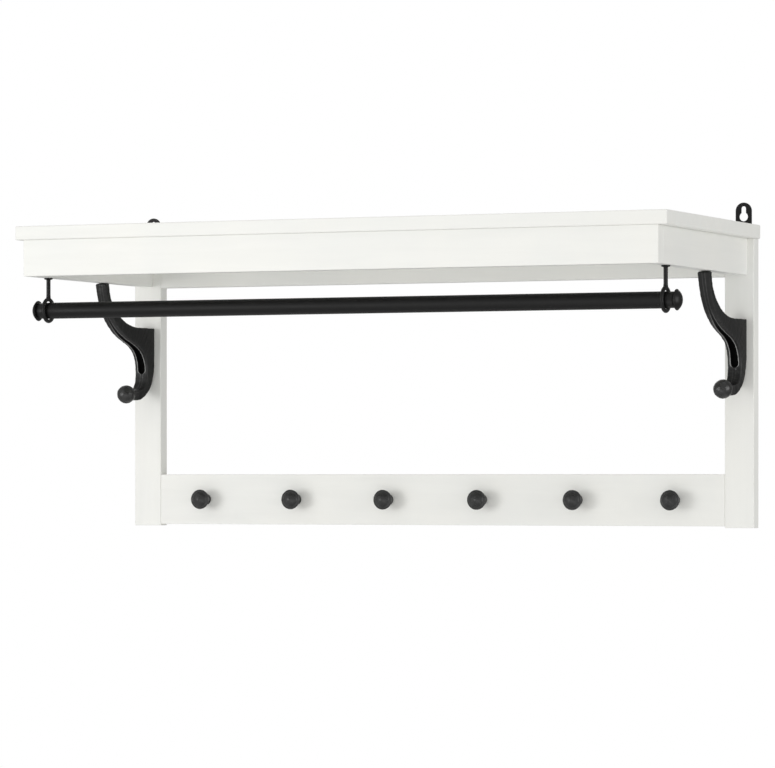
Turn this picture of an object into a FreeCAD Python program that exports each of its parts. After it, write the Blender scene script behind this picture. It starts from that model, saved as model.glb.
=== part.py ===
import FreeCAD, Part
import math
import os

from FreeCAD import Vector

# Wall hook rack: a shelf box on two wall stiles, with a hanging rail in two ring hangers, two cast
# double hooks and a lower rail of peg knobs. Millimetres. X runs along the shelf, Y into the wall, Z up.
# The origin is on the wall plane, midway between the entry holes of the two keyhole plates, so the rack
# is in front of it, at -Y.

os.makedirs("parts", exist_ok=True)

# Shelf box
shelf_length = 850.0
shelf_depth = 340.0
shelf_top = -10.5
board_thickness = 17.0
apron_height = 44.8
apron_side_inset = 11.0
apron_front_inset = 1.5
board_ease = 1.5
joint_ease = 0.8

# Wall frame
rack_height = 371.0
stile_width = 37.5
stile_thickness = 18.0
stile_inset = 2.5
back_rail_height = 46.4
peg_rail_height = 64.0
peg_rail_lift = 2.0

# Hanging rail, rings and finials
rail_radius = 10.0
rail_wall = 1.5
rail_setback = 51.0
rail_drop = 40.6
rail_end_past_ring = 3.5
ring_radius = 13.5
ring_wire_radius = 2.4
ring_lift = 0.5
hanger_rod_radius = 2.6
hanger_flange_radius = 5.3
hanger_flange_thickness = 2.0
hanger_thread_length = 18.0
hanger_flare_radius = 3.7
hanger_flare_length = 4.0
finial_collar_radius = 9.7
finial_groove_radius = 8.8
finial_rim_radius = 12.6
finial_collar_length = 7.6
finial_groove_width = 0.9
finial_rim_width = 1.3
finial_length = 17.0
finial_tip_flat = 1.0
finial_spigot_length = 18.0

# Cast double hooks. Outline points are (distance out from the stile, height above the square shoulder)
hook_top = -126.2
hook_back_width = 19.0
hook_arm_width = 15.0
hook_taper_depth = 62.0
hook_ball_radius = 11.7
hook_ball_out = 61.8
hook_ball_up = -86.2
hook_shoulder_out = 36.4
hook_front_edge = [
    (134.0, 52.5), (128.8, 36.0), (117.3, 15.2), (101.4, 0.8), (81.2, -11.0), (62.0, -18.0),
    (45.0, -23.3), (31.2, -30.4), (22.7, -39.5), (18.8, -50.7), (18.5, -61.8), (21.6, -72.0),
    (29.0, -78.6), (39.6, -80.9), (52.0, -80.0),
]
hook_prong_back_edge = [
    (hook_shoulder_out, 0.0), (53.4, 0.9), (73.6, 5.1), (93.8, 13.4), (111.3, 26.5), (120.3, 39.5),
    (123.6, 54.0),
]
hook_heel_edge = [(52.0, -92.6), (38.5, -91.8), (21.5, -85.8), (9.2, -75.5), (2.7, -61.8), (0.0, -44.6)]
hook_ease = 1.8
flute_depth = 4.0
flute_half_width = 5.0
flute_bottom_up = -58.8
flute_sides = [(0.5, 6.2), (2.0, -8.0), (3.4, -20.0), (4.5, -33.0)]
hook_screw_ups = (-12.0, -34.0)
hook_thread_depth = 11.0
hook_seat_y = -6.0

# Peg knobs
peg_count = 6
peg_pitch = 128.0
knob_head_radius = 12.5
knob_length = 25.0
knob_widest_out = 18.2
knob_foot_radius = 7.2
knob_foot_edge = 1.5
knob_waist_radius = 5.4
knob_waist_out = 5.2
knob_flare_out = 9.5
knob_flare_hollow = 1.2
knob_dome_inset = 2.6
knob_face_step = 0.35
knob_nub_radius = 1.5
peg_thread_depth = 11.0
peg_seat_y = -7.0

# Keyhole plates
plate_width = 20.6
plate_thickness = 2.0
plate_rise = 17.5
plate_drop = 56.0
keyhole_radius = 5.5
keyhole_slot_width = 6.0
keyhole_slot_rise = 10.0
pocket_gap = 0.2

# Fasteners
dowel_radius = 4.0
dowel_in_rail = 20.0
dowel_in_stile = 14.0
dowel_in_board = 9.0
dowel_in_apron = 20.0
dowel_in_stile_face = 12.0
corner_dowel_length = 30.0
dowel_edge_distance = 11.0
peg_rail_dowel_spread = 17.5
side_dowel_ys = (-105.0, -235.0)
front_dowel_xs = (-300.0, 0.0, 300.0)
back_dowel_xs = (-200.0, 200.0)
wood_screw_radius = 2.1
wood_screw_head_radius = 4.0
wood_screw_length = 15.0
plate_screw_drops = (6.0, 23.0)
hook_screw_radius = 2.5
peg_screw_radius = 2.0
peg_screw_head_radius = 4.0
stile_screw_radius = 2.5
stile_screw_length = 50.0
stile_screw_lift = 7.5
stile_screw_seat_y = -4.5
large_head_radius = 4.6
head_height = 3.0
head_clearance = 0.5
bore_clearance = 0.25
tool_overrun = 1.0

# Places worked out from the sizes above
shelf_underside = shelf_top - board_thickness
apron_bottom = shelf_underside - apron_height
side_apron_outer_x = shelf_length / 2 - apron_side_inset
side_apron_centre_x = side_apron_outer_x - board_thickness / 2
apron_front_y = -shelf_depth + apron_front_inset
front_apron_back_y = apron_front_y + board_thickness
stile_outer_x = shelf_length / 2 - stile_inset
stile_inner_x = stile_outer_x - stile_width
stile_centre_x = stile_outer_x - stile_width / 2
stile_bottom = shelf_top - rack_height
peg_rail_bottom = stile_bottom + peg_rail_lift
peg_rail_centre_z = peg_rail_bottom + peg_rail_height / 2
rail_y = -shelf_depth + rail_setback
rail_z = apron_bottom - rail_drop
SIDES = (("left", -1), ("right", 1))

X_AXIS = Vector(1, 0, 0)
INTO_WALL = Vector(0, 1, 0)
OUT_OF_WALL = Vector(0, -1, 0)
UP = Vector(0, 0, 1)


def save(name, shape):
    """Writes one named piece, and refuses a broken solid."""
    if not shape.isValid() or not shape.Solids:
        raise ValueError(name + " is not a valid solid")
    shape.exportStep("parts/" + name + ".step")
    print(name, len(shape.Solids), "solids", round(shape.Volume / 1000, 2), "cm3")


def box(low, high):
    size = Vector(*high) - Vector(*low)
    return Part.makeBox(size.x, size.y, size.z, Vector(*low))


def eased_board(low, high, ease):
    """A planed board with every edge slightly rounded."""
    board = box(low, high)
    return board.makeFillet(ease, board.Edges)


def cylinder(radius, start, direction, length):
    return Part.makeCylinder(radius, length, Vector(*start), direction)


def cut_all(shape, tools):
    for tool in tools:
        shape = shape.cut(tool)
    return shape


def union(shapes):
    whole = shapes[0].multiFuse(shapes[1:]) if len(shapes) > 1 else shapes[0]
    return whole.removeSplitter()


def turned(outline, base, axis):
    """A solid of revolution. The outline's points are (radius, distance along the axis)."""
    profile = Part.Face(Part.Wire(outline))
    solid = profile.revolve(Vector(0, 0, 0), UP, 360)
    if solid.ShapeType != "Solid":
        solid = Part.Solid(solid)
    solid.Placement = FreeCAD.Placement(Vector(*base), FreeCAD.Rotation(UP, axis))
    return solid


def at(radius, along):
    """A point of a turned outline."""
    return Vector(radius, 0, along)


def line(a, b):
    return Part.LineSegment(a, b).toShape()


def arc(a, middle, b):
    return Part.Arc(a, middle, b).toShape()


def polyline(points):
    return [line(a, b) for a, b in zip(points, points[1:])]


def machine_screw(radius, head_radius, head_seat, direction, length):
    """A pan-head screw: its head stands behind the seat, and its shank runs on from the seat."""
    seat = Vector(*head_seat)
    head = Part.makeCylinder(head_radius, head_height, seat - direction * head_height, direction)
    rim = [e for e in head.Edges if abs(e.Length - 2 * math.pi * head_radius) < 0.01]
    outer = [e for e in rim if (e.CenterOfMass - seat).Length > head_height / 2]
    head = head.makeFillet(head_height / 3, outer)
    shank = Part.makeCylinder(radius, length, seat, direction)
    return union([head, shank])


def countersunk_screw(radius, head_radius, face_point, direction, length):
    """A flat-head wood screw with a pointed end, flush with the face that it is driven into."""
    cone_depth = head_radius - radius
    tip_depth = 2 * radius
    outline = polyline([
        at(0, 0),
        at(head_radius, 0),
        at(radius, cone_depth),
        at(radius, length - tip_depth),
        at(0, length),
        at(0, 0),
    ])
    return turned(outline, face_point, direction)


def head_bore(head_radius, seat):
    """The counterbore from the wall side that a screw's head sits in."""
    x, seat_y, z = seat
    return cylinder(head_radius + head_clearance, (x, tool_overrun, z), OUT_OF_WALL, tool_overrun - seat_y)


def rail_dowels(heights):
    """Dowels that cross the joint between a rail and each stile, halfway through the frame's thickness."""
    pins = []
    for _, side in SIDES:
        for height in heights:
            start = (side * (stile_inner_x - dowel_in_rail), -stile_thickness / 2, height)
            pins.append(cylinder(dowel_radius, start, X_AXIS * side, dowel_in_rail + dowel_in_stile))
    return pins


def upright_dowel(x, y):
    """A dowel that stands in the top edge of an apron or rail and enters the shelf from below."""
    start = (x, y, shelf_underside - dowel_in_apron)
    return cylinder(dowel_radius, start, UP, dowel_in_apron + dowel_in_board)


# ---- hidden fasteners, made first as cutting tools

back_rail_dowels = rail_dowels((apron_bottom + dowel_edge_distance, shelf_underside - dowel_edge_distance))
peg_rail_dowels = rail_dowels((peg_rail_centre_z - peg_rail_dowel_spread,
                               peg_rail_centre_z + peg_rail_dowel_spread))

apron_corner_dowels = []
apron_stile_dowels = []
shelf_dowels = []
stile_screws = []
stile_screw_bores = []
for _, side in SIDES:
    x = side * side_apron_centre_x
    for height in (shelf_underside - dowel_edge_distance, apron_bottom + dowel_edge_distance):
        start = (x, front_apron_back_y - corner_dowel_length / 3, height)
        apron_corner_dowels.append(cylinder(dowel_radius, start, INTO_WALL, corner_dowel_length))
    start = (x, -stile_thickness - dowel_in_apron, shelf_underside - 1.25 * dowel_edge_distance)
    apron_stile_dowels.append(cylinder(dowel_radius, start, INTO_WALL, dowel_in_apron + dowel_in_stile_face))
    shelf_dowels += [upright_dowel(x, y) for y in side_dowel_ys]
    seat = (x, stile_screw_seat_y, apron_bottom + stile_screw_lift)
    screw = machine_screw(stile_screw_radius, large_head_radius, seat, OUT_OF_WALL, stile_screw_length)
    stile_screws.append(screw)
    stile_screw_bores.append(head_bore(large_head_radius, seat))
    stile_screw_bores.append(cylinder(stile_screw_radius, seat, OUT_OF_WALL, stile_screw_length))
shelf_dowels += [upright_dowel(x, apron_front_y + board_thickness / 2) for x in front_dowel_xs]
shelf_dowels += [upright_dowel(x, -stile_thickness / 2) for x in back_dowel_xs]


# ---- keyhole plates

def keyhole_plate(centre_x):
    """A round-topped steel strip: screws to the stile below, keyhole above the shelf."""
    half = plate_width / 2
    shoulder_z = plate_rise - half
    corners = [
        Vector(centre_x + half, 0, shoulder_z),
        Vector(centre_x + half, 0, -plate_drop),
        Vector(centre_x - half, 0, -plate_drop),
        Vector(centre_x - half, 0, shoulder_z),
    ]
    round_top = arc(corners[-1], Vector(centre_x, 0, plate_rise), corners[0])
    blank = Part.Face(Part.Wire(polyline(corners) + [round_top]))
    plate = blank.extrude(OUT_OF_WALL * plate_thickness)
    slot_half = keyhole_slot_width / 2
    through = plate_thickness + 2 * tool_overrun
    entry = cylinder(keyhole_radius, (centre_x, tool_overrun, 0), OUT_OF_WALL, through)
    slot = box((centre_x - slot_half, tool_overrun - through, 0),
               (centre_x + slot_half, tool_overrun, keyhole_slot_rise))
    slot_end = cylinder(slot_half, (centre_x, tool_overrun, keyhole_slot_rise), OUT_OF_WALL, through)
    return cut_all(plate, [entry, slot, slot_end] + plate_screws(centre_x))


def plate_screws(centre_x):
    screws = []
    for drop in plate_screw_drops:
        face_point = (centre_x, 0, shelf_underside - drop)
        screw = countersunk_screw(wood_screw_radius, wood_screw_head_radius, face_point, OUT_OF_WALL,
                                  wood_screw_length)
        screws.append(screw)
    return screws


def plate_pocket(centre_x):
    """The room routed into the stile and the shelf's back edge, so that the rack lies flat on the wall."""
    half = plate_width / 2 + pocket_gap
    low = (centre_x - half, -plate_thickness, -plate_drop - pocket_gap)
    return box(low, (centre_x + half, tool_overrun, plate_rise))


for name, side in SIDES:
    save("keyhole_plate_" + name, keyhole_plate(side * stile_centre_x))
    save("keyhole_plate_screws_" + name, Part.makeCompound(plate_screws(side * stile_centre_x)))


# ---- peg knobs and their screws

peg_xs = [(i - (peg_count - 1) / 2) * peg_pitch for i in range(peg_count)]


def peg_knob(centre_x):
    """A turned knob: small foot, waist, then a flared head with a rounded rim and a domed face."""
    foot, waist, head = knob_foot_radius, knob_waist_radius, knob_head_radius
    flare = waist + 0.9
    rim_back = (head - 1.0, knob_widest_out - 2.0)
    rim_front = (head - 1.2, knob_widest_out + 1.6)
    step_out = rim_front[1] + knob_face_step
    dome_foot = (head - knob_dome_inset, step_out + knob_face_step)
    nub_foot = (knob_nub_radius, knob_length - knob_face_step)
    flare_middle = ((flare + rim_back[0]) / 2 - knob_flare_hollow, (knob_flare_out + rim_back[1]) / 2 + 1.0)
    dome_middle = ((dome_foot[0] + nub_foot[0]) / 2, knob_length - 1.9)
    outline = polyline([at(0, 0), at(foot, 0), at(foot, knob_foot_edge)])
    outline.append(arc(at(foot, knob_foot_edge), at(waist, knob_waist_out), at(flare, knob_flare_out)))
    outline.append(arc(at(flare, knob_flare_out), at(*flare_middle), at(*rim_back)))
    outline.append(arc(at(*rim_back), at(head, knob_widest_out), at(*rim_front)))
    outline += polyline([at(*rim_front), at(dome_foot[0], step_out), at(*dome_foot)])
    outline.append(arc(at(*dome_foot), at(*dome_middle), at(*nub_foot)))
    outline += polyline([at(*nub_foot), at(knob_nub_radius, knob_length), at(0, knob_length), at(0, 0)])
    knob = turned(outline, (centre_x, -stile_thickness, peg_rail_centre_z), OUT_OF_WALL)
    thread = cylinder(peg_screw_radius, (centre_x, tool_overrun - stile_thickness, peg_rail_centre_z),
                      OUT_OF_WALL, peg_thread_depth + tool_overrun)
    return knob.cut(thread)


peg_screws = []
peg_bores = []
for number, x in enumerate(peg_xs, start=1):
    save("peg_knob_" + str(number), peg_knob(x))
    seat = (x, peg_seat_y, peg_rail_centre_z)
    shank_length = stile_thickness + peg_seat_y + peg_thread_depth
    peg_screws.append(machine_screw(peg_screw_radius, peg_screw_head_radius, seat, OUT_OF_WALL, shank_length))
    peg_bores.append(head_bore(peg_screw_head_radius, seat))
    peg_bores.append(cylinder(peg_screw_radius + bore_clearance, seat, OUT_OF_WALL, stile_thickness))
save("peg_screws", Part.makeCompound(peg_screws))


# ---- cast double hooks

def hook_point(out, up):
    return Vector(0, -stile_thickness - out, hook_top + up)


def smooth_edge(points, first_tangent=None, last_tangent=None):
    """A smooth curve through outline points of the hook."""
    curve = Part.BSplineCurve()
    vectors = [hook_point(*p) for p in points]
    if first_tangent and last_tangent:
        curve.interpolate(Points=vectors, InitialTangent=first_tangent, FinalTangent=last_tangent)
    else:
        curve.interpolate(vectors)
    return curve.toShape()


def extruded_outline(edges, width):
    """The hook outline as a slab of one width, centred on the hook's own plane."""
    slab = Part.Face(Part.Wire(edges)).extrude(X_AXIS * width)
    slab.translate(X_AXIS * (-width / 2))
    return slab


def hook_plan_taper():
    """Seen from above the casting is widest at the stile and narrows to the arms' width."""
    back = hook_back_width / 2
    arm = hook_arm_width / 2
    far_out, far_down, height = 150.0, 120.0, 200.0
    half_plan = [(back, 0), (arm, hook_taper_depth), (arm, far_out)]
    plan = half_plan + [(-x, out) for x, out in reversed(half_plan)]
    points = [Vector(x, -stile_thickness - out, hook_top - far_down) for x, out in plan]
    outline = Part.Face(Part.Wire(polyline(points + [points[0]])))
    return outline.extrude(UP * height)


def flute():
    """The teardrop channel in the casting's front face: pointed above, round below."""
    outside_front = 6.0
    edge = hook_front_edge[:-2]
    steps = [(hook_point(*a), hook_point(*b)) for a, b in zip(edge, edge[1:])]
    outer, inner = [], []
    for i in range(1, len(edge) - 1):
        along = sum((b - a for a, b in steps[i - 1:i + 1]), Vector())
        inward = Vector(0, -along.z, along.y).normalize()
        outer.append(hook_point(*edge[i]) - inward * outside_front)
        inner.append(hook_point(*edge[i]) + inward * flute_depth)
    outer_curve = Part.BSplineCurve()
    outer_curve.interpolate(outer)
    inner_curve = Part.BSplineCurve()
    inner_curve.interpolate(inner)
    edges = [outer_curve.toShape(), line(outer[-1], inner[-1])]
    edges += [inner_curve.toShape(), line(inner[0], outer[0])]
    band = extruded_outline(edges, 2 * (flute_half_width + tool_overrun))
    sides = flute_sides + [(flute_half_width, flute_bottom_up + flute_half_width)]
    right = [Vector(x, 0, hook_top + up) for x, up in sides]
    left = [Vector(-x, 0, hook_top + up) for x, up in reversed(sides)]
    foot = arc(right[-1], Vector(0, 0, hook_top + flute_bottom_up), left[0])
    teardrop = Part.Face(Part.Wire(polyline(right) + [foot] + polyline(left + [right[0]])))
    return band.common(teardrop.extrude(OUT_OF_WALL * shelf_depth))


def coat_hook(centre_x):
    square_corner = hook_point(0, 0)
    shoulder = hook_point(hook_shoulder_out, 0)
    top_line = line(square_corner, shoulder)
    prong_back = smooth_edge(hook_prong_back_edge, OUT_OF_WALL, UP)
    tip = line(hook_point(*hook_prong_back_edge[-1]), hook_point(*hook_front_edge[0]))
    front = smooth_edge(hook_front_edge)
    neck = line(hook_point(*hook_front_edge[-1]), hook_point(*hook_heel_edge[0]))
    heel = smooth_edge(hook_heel_edge, INTO_WALL, UP)
    back_line = line(hook_point(*hook_heel_edge[-1]), square_corner)
    edges = [top_line, prong_back, tip, front, neck, heel, back_line]
    slab = extruded_outline(edges, hook_back_width + 2 * tool_overrun)
    casting = ease_long_edges(slab.common(hook_plan_taper()))
    ball = Part.makeSphere(hook_ball_radius, hook_point(hook_ball_out, hook_ball_up))
    casting = union([casting, ball]).cut(flute())
    threads = [cylinder(hook_screw_radius, hook_point(-tool_overrun, up), OUT_OF_WALL,
                        hook_thread_depth + tool_overrun) for up in hook_screw_ups]
    casting = cut_all(casting, threads)
    casting.translate(X_AXIS * centre_x)
    return casting


def ease_long_edges(casting):
    """Rounds the cast edges, except the short ones and those that lie on the stile."""
    shortest_eased = 9.0
    in_front = -stile_thickness - tool_overrun
    free = [e for e in casting.Edges if e.BoundBox.YMin < in_front and e.Length > shortest_eased]
    for radius in (hook_ease, hook_ease * 0.6):
        try:
            eased = casting.makeFillet(radius, free)
            if eased.isValid() and eased.Solids:
                return eased
        except Part.OCCError:
            continue
    return casting


def hook_seats(centre_x):
    return [(centre_x, hook_seat_y, hook_top + up) for up in hook_screw_ups]


def hook_screws(centre_x):
    length = stile_thickness + hook_seat_y + hook_thread_depth
    return [machine_screw(hook_screw_radius, large_head_radius, seat, OUT_OF_WALL, length)
            for seat in hook_seats(centre_x)]


def hook_screw_bores(centre_x):
    bores = []
    for seat in hook_seats(centre_x):
        bores.append(head_bore(large_head_radius, seat))
        bores.append(cylinder(hook_screw_radius + bore_clearance, seat, OUT_OF_WALL, stile_thickness))
    return bores


for name, side in SIDES:
    save("coat_hook_" + name, coat_hook(side * stile_centre_x))
    save("hook_screws_" + name, Part.makeCompound(hook_screws(side * stile_centre_x)))


# ---- hanging rail, finials and ring hangers

rail_half = side_apron_centre_x + rail_end_past_ring


def rail_tube():
    start = (-rail_half, rail_y, rail_z)
    outside = cylinder(rail_radius, start, X_AXIS, 2 * rail_half)
    return outside.cut(cylinder(rail_radius - rail_wall, start, X_AXIS, 2 * rail_half))


def finial(side):
    """Spigot inside the tube, collar, groove, then a flared rim with a domed end."""
    spigot = rail_radius - rail_wall
    collar, groove, rim = finial_collar_radius, finial_groove_radius, finial_rim_radius
    rim_edge = rim - 0.4
    spigot_chamfer = 1.0
    groove_start = finial_collar_length
    groove_end = groove_start + finial_groove_width
    rim_back = groove_end + finial_rim_width
    rim_front = rim_back + finial_rim_width
    dome_foot = (rim - 1.0, rim_front + 0.5)
    dome_middle = (0.55 * rim, finial_length - 1.8)
    outline = polyline([
        at(0, -finial_spigot_length),
        at(spigot - spigot_chamfer, -finial_spigot_length),
        at(spigot, -finial_spigot_length + spigot_chamfer),
        at(spigot, 0),
        at(collar, 0),
        at(collar, groove_start),
        at(groove, groove_start + 0.2),
        at(groove, groove_end),
    ])
    outline.append(arc(at(groove, groove_end), at(rim - 2.2, groove_end + 0.45), at(rim_edge, rim_back)))
    outline.append(arc(at(rim_edge, rim_back), at(rim, (rim_back + rim_front) / 2), at(rim_edge, rim_front)))
    outline.append(line(at(rim_edge, rim_front), at(*dome_foot)))
    outline.append(arc(at(*dome_foot), at(*dome_middle), at(finial_tip_flat, finial_length)))
    outline.append(line(at(finial_tip_flat, finial_length), at(0, finial_length)))
    outline.append(line(at(0, finial_length), at(0, -finial_spigot_length)))
    return turned(outline, (side * rail_half, rail_y, rail_z), X_AXIS * side)


def ring_hanger(side):
    """One forging: threaded shank in the apron, flange, rod, and the ring round the rail."""
    x = side * side_apron_centre_x
    ring = Part.makeTorus(ring_radius, ring_wire_radius, Vector(x, rail_y, rail_z + ring_lift), X_AXIS)
    foot = (x, rail_y, apron_bottom)
    flange = cylinder(hanger_flange_radius, foot, -UP, hanger_flange_thickness)
    rod = cylinder(hanger_rod_radius, foot, -UP, rail_drop - ring_lift - ring_radius)
    shank = cylinder(hanger_rod_radius, foot, UP, hanger_thread_length)
    flare_foot = Vector(x, rail_y, rail_z + ring_lift + ring_radius + 0.4 * ring_wire_radius)
    flare = Part.makeCone(hanger_flare_radius, hanger_rod_radius, hanger_flare_length, flare_foot, UP)
    return union([ring, rod, flange, shank, flare])


save("rail_tube", rail_tube())
for name, side in SIDES:
    save("finial_" + name, finial(side))
    save("ring_hanger_" + name, ring_hanger(side))


# ---- wooden parts

hanger_bores = []
for _, side in SIDES:
    bore_foot = (side * side_apron_centre_x, rail_y, apron_bottom - tool_overrun)
    hanger_bores.append(cylinder(hanger_rod_radius, bore_foot, UP, hanger_thread_length + tool_overrun))
pockets = [plate_pocket(side * stile_centre_x) for _, side in SIDES]

board_low = (-shelf_length / 2, -shelf_depth, shelf_underside)
board = eased_board(board_low, (shelf_length / 2, 0, shelf_top), board_ease)
save("top_board", cut_all(board, pockets + shelf_dowels))

front = eased_board((-side_apron_outer_x, apron_front_y, apron_bottom),
                    (side_apron_outer_x, front_apron_back_y, shelf_underside), joint_ease)
save("front_apron", cut_all(front, shelf_dowels + apron_corner_dowels))

for name, side in SIDES:
    inner = side * (side_apron_outer_x - board_thickness)
    outer = side * side_apron_outer_x
    low = (min(inner, outer), front_apron_back_y, apron_bottom)
    high = (max(inner, outer), -stile_thickness, shelf_underside)
    apron = eased_board(low, high, joint_ease)
    tools = shelf_dowels + apron_corner_dowels + apron_stile_dowels + stile_screw_bores + hanger_bores
    save("side_apron_" + name, cut_all(apron, tools))

back_rail = eased_board((-stile_inner_x, -stile_thickness, shelf_underside - back_rail_height),
                        (stile_inner_x, 0, shelf_underside), joint_ease)
save("back_top_rail", cut_all(back_rail, back_rail_dowels + shelf_dowels))

for name, side in SIDES:
    inner = side * stile_inner_x
    outer = side * stile_outer_x
    low = (min(inner, outer), -stile_thickness, stile_bottom)
    high = (max(inner, outer), 0, shelf_underside)
    stile = eased_board(low, high, joint_ease)
    tools = back_rail_dowels + peg_rail_dowels + apron_stile_dowels + stile_screw_bores + pockets
    tools += plate_screws(side * stile_centre_x) + hook_screw_bores(side * stile_centre_x)
    save("stile_" + name, cut_all(stile, tools))

peg_rail = eased_board((-stile_inner_x, -stile_thickness, peg_rail_bottom),
                       (stile_inner_x, 0, peg_rail_bottom + peg_rail_height), joint_ease)
save("peg_rail", cut_all(peg_rail, peg_rail_dowels + peg_bores))

save("back_rail_dowels", Part.makeCompound(back_rail_dowels))
save("peg_rail_dowels", Part.makeCompound(peg_rail_dowels))
save("apron_corner_dowels", Part.makeCompound(apron_corner_dowels))
save("apron_stile_dowels", Part.makeCompound(apron_stile_dowels))
save("shelf_dowels", Part.makeCompound(shelf_dowels))
save("stile_screws", Part.makeCompound(stile_screws))
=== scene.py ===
import math

import bmesh
import bpy
from mathutils import Matrix, Vector, noise


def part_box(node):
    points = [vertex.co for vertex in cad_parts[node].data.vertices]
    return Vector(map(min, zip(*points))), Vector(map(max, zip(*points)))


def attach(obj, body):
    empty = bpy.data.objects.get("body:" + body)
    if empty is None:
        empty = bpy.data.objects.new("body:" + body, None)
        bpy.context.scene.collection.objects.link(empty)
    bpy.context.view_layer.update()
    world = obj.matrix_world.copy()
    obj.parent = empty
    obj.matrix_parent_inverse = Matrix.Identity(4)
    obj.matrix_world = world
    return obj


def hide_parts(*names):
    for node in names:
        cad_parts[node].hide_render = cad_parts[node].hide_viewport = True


# Looks for the wall hook rack. The painted boards and the dowels are the frame's own nodes with better
# materials. The hooks, knobs, finials, rail, ring hangers, keyhole plates and screws are meshes built
# here, and each takes its node's place.

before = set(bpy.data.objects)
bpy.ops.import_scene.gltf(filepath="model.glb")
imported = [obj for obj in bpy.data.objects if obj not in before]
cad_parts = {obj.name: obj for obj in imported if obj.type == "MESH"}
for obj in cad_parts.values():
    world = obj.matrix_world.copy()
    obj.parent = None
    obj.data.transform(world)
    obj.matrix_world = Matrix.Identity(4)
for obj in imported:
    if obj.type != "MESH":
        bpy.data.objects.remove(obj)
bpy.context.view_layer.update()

MM = 0.001
TAU = 2 * math.pi
RACK = "rack"
RAIL = "hanging_rail"
SIDES = ("left", "right")

# Screws, as (shank radius, head radius) in millimetres. The heads fill the keyhole plates' lower holes.
HOOK_SCREW = (2.5, 4.6)
STILE_SCREW = (2.5, 4.6)
PEG_SCREW = (2.0, 4.0)
PLATE_SCREW = (2.1, 4.0)


# ---------------------------------------------------------------- shader helpers


class Shader:
    """A node tree being built. Methods return the output socket of the node that they add."""

    def __init__(self, name):
        self.material = bpy.data.materials.new(name)
        self.material.use_nodes = True
        self.tree = self.material.node_tree
        self.surface = self.tree.nodes["Principled BSDF"]
        coordinates = self.tree.nodes.new("ShaderNodeTexCoord")
        self.place = coordinates.outputs["Object"]

    def plug(self, socket, value):
        if isinstance(value, bpy.types.NodeSocket):
            self.tree.links.new(value, socket)
        else:
            socket.default_value = value

    def stretched(self, scale):
        """Object coordinates in metres, scaled differently along each axis."""
        mapping = self.tree.nodes.new("ShaderNodeMapping")
        self.plug(mapping.inputs["Vector"], self.place)
        mapping.inputs["Scale"].default_value = scale
        return mapping.outputs["Vector"]

    def noise(self, scale, detail=3.0, roughness=0.5, vector=None, distortion=0.0):
        node = self.tree.nodes.new("ShaderNodeTexNoise")
        self.plug(node.inputs["Vector"], vector or self.place)
        node.inputs["Scale"].default_value = scale
        node.inputs["Detail"].default_value = detail
        node.inputs["Roughness"].default_value = roughness
        node.inputs["Distortion"].default_value = distortion
        return node.outputs["Fac"]

    def cells(self, scale, vector=None):
        node = self.tree.nodes.new("ShaderNodeTexVoronoi")
        node.feature = "SMOOTH_F1"
        self.plug(node.inputs["Vector"], vector or self.place)
        node.inputs["Scale"].default_value = scale
        node.inputs["Smoothness"].default_value = 0.6
        return node.outputs["Distance"]

    def ramp(self, value, stops):
        """A colour ramp. Stops are (position, grey level or colour)."""
        node = self.tree.nodes.new("ShaderNodeValToRGB")
        self.plug(node.inputs["Fac"], value)
        elements = node.color_ramp.elements
        while len(elements) < len(stops):
            elements.new(0.5)
        for element, (position, colour) in zip(elements, stops):
            element.position = position
            rgb = (colour,) * 3 if isinstance(colour, float) else colour
            element.color = (*rgb, 1.0)
        return node.outputs["Color"]

    def to_range(self, value, low, high, from_low=0.3, from_high=0.7):
        node = self.tree.nodes.new("ShaderNodeMapRange")
        self.plug(node.inputs["Value"], value)
        node.inputs["From Min"].default_value = from_low
        node.inputs["From Max"].default_value = from_high
        node.inputs["To Min"].default_value = low
        node.inputs["To Max"].default_value = high
        return node.outputs["Result"]

    def mix(self, share, first, second, mode="MIX"):
        node = self.tree.nodes.new("ShaderNodeMix")
        node.data_type = "RGBA"
        node.blend_type = mode
        self.plug(node.inputs["Factor"], share)
        self.plug(node.inputs["A"], first)
        self.plug(node.inputs["B"], second)
        return node.outputs["Result"]

    def bump(self, height, distance, strength=1.0, under=None):
        node = self.tree.nodes.new("ShaderNodeBump")
        self.plug(node.inputs["Height"], height)
        node.inputs["Distance"].default_value = distance
        node.inputs["Strength"].default_value = strength
        if under:
            self.plug(node.inputs["Normal"], under)
        return node.outputs["Normal"]

    def edge_mask(self, radius):
        """1 on flat faces, falling towards edges and corners."""
        bevel = self.tree.nodes.new("ShaderNodeBevel")
        bevel.samples = 4
        bevel.inputs["Radius"].default_value = radius
        geometry = self.tree.nodes.new("ShaderNodeNewGeometry")
        dot = self.tree.nodes.new("ShaderNodeVectorMath")
        dot.operation = "DOT_PRODUCT"
        self.plug(dot.inputs[0], bevel.outputs["Normal"])
        self.plug(dot.inputs[1], geometry.outputs["Normal"])
        return dot.outputs["Value"]

    def attribute(self, name):
        """A per-vertex number. It is 0 on meshes that don't carry it."""
        node = self.tree.nodes.new("ShaderNodeAttribute")
        node.attribute_name = name
        return node.outputs["Fac"]

    def finish(self, **sockets):
        for name, value in sockets.items():
            self.plug(self.surface.inputs[name.replace("_", " ")], value)
        return self.material


# ---------------------------------------------------------------- materials


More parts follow.
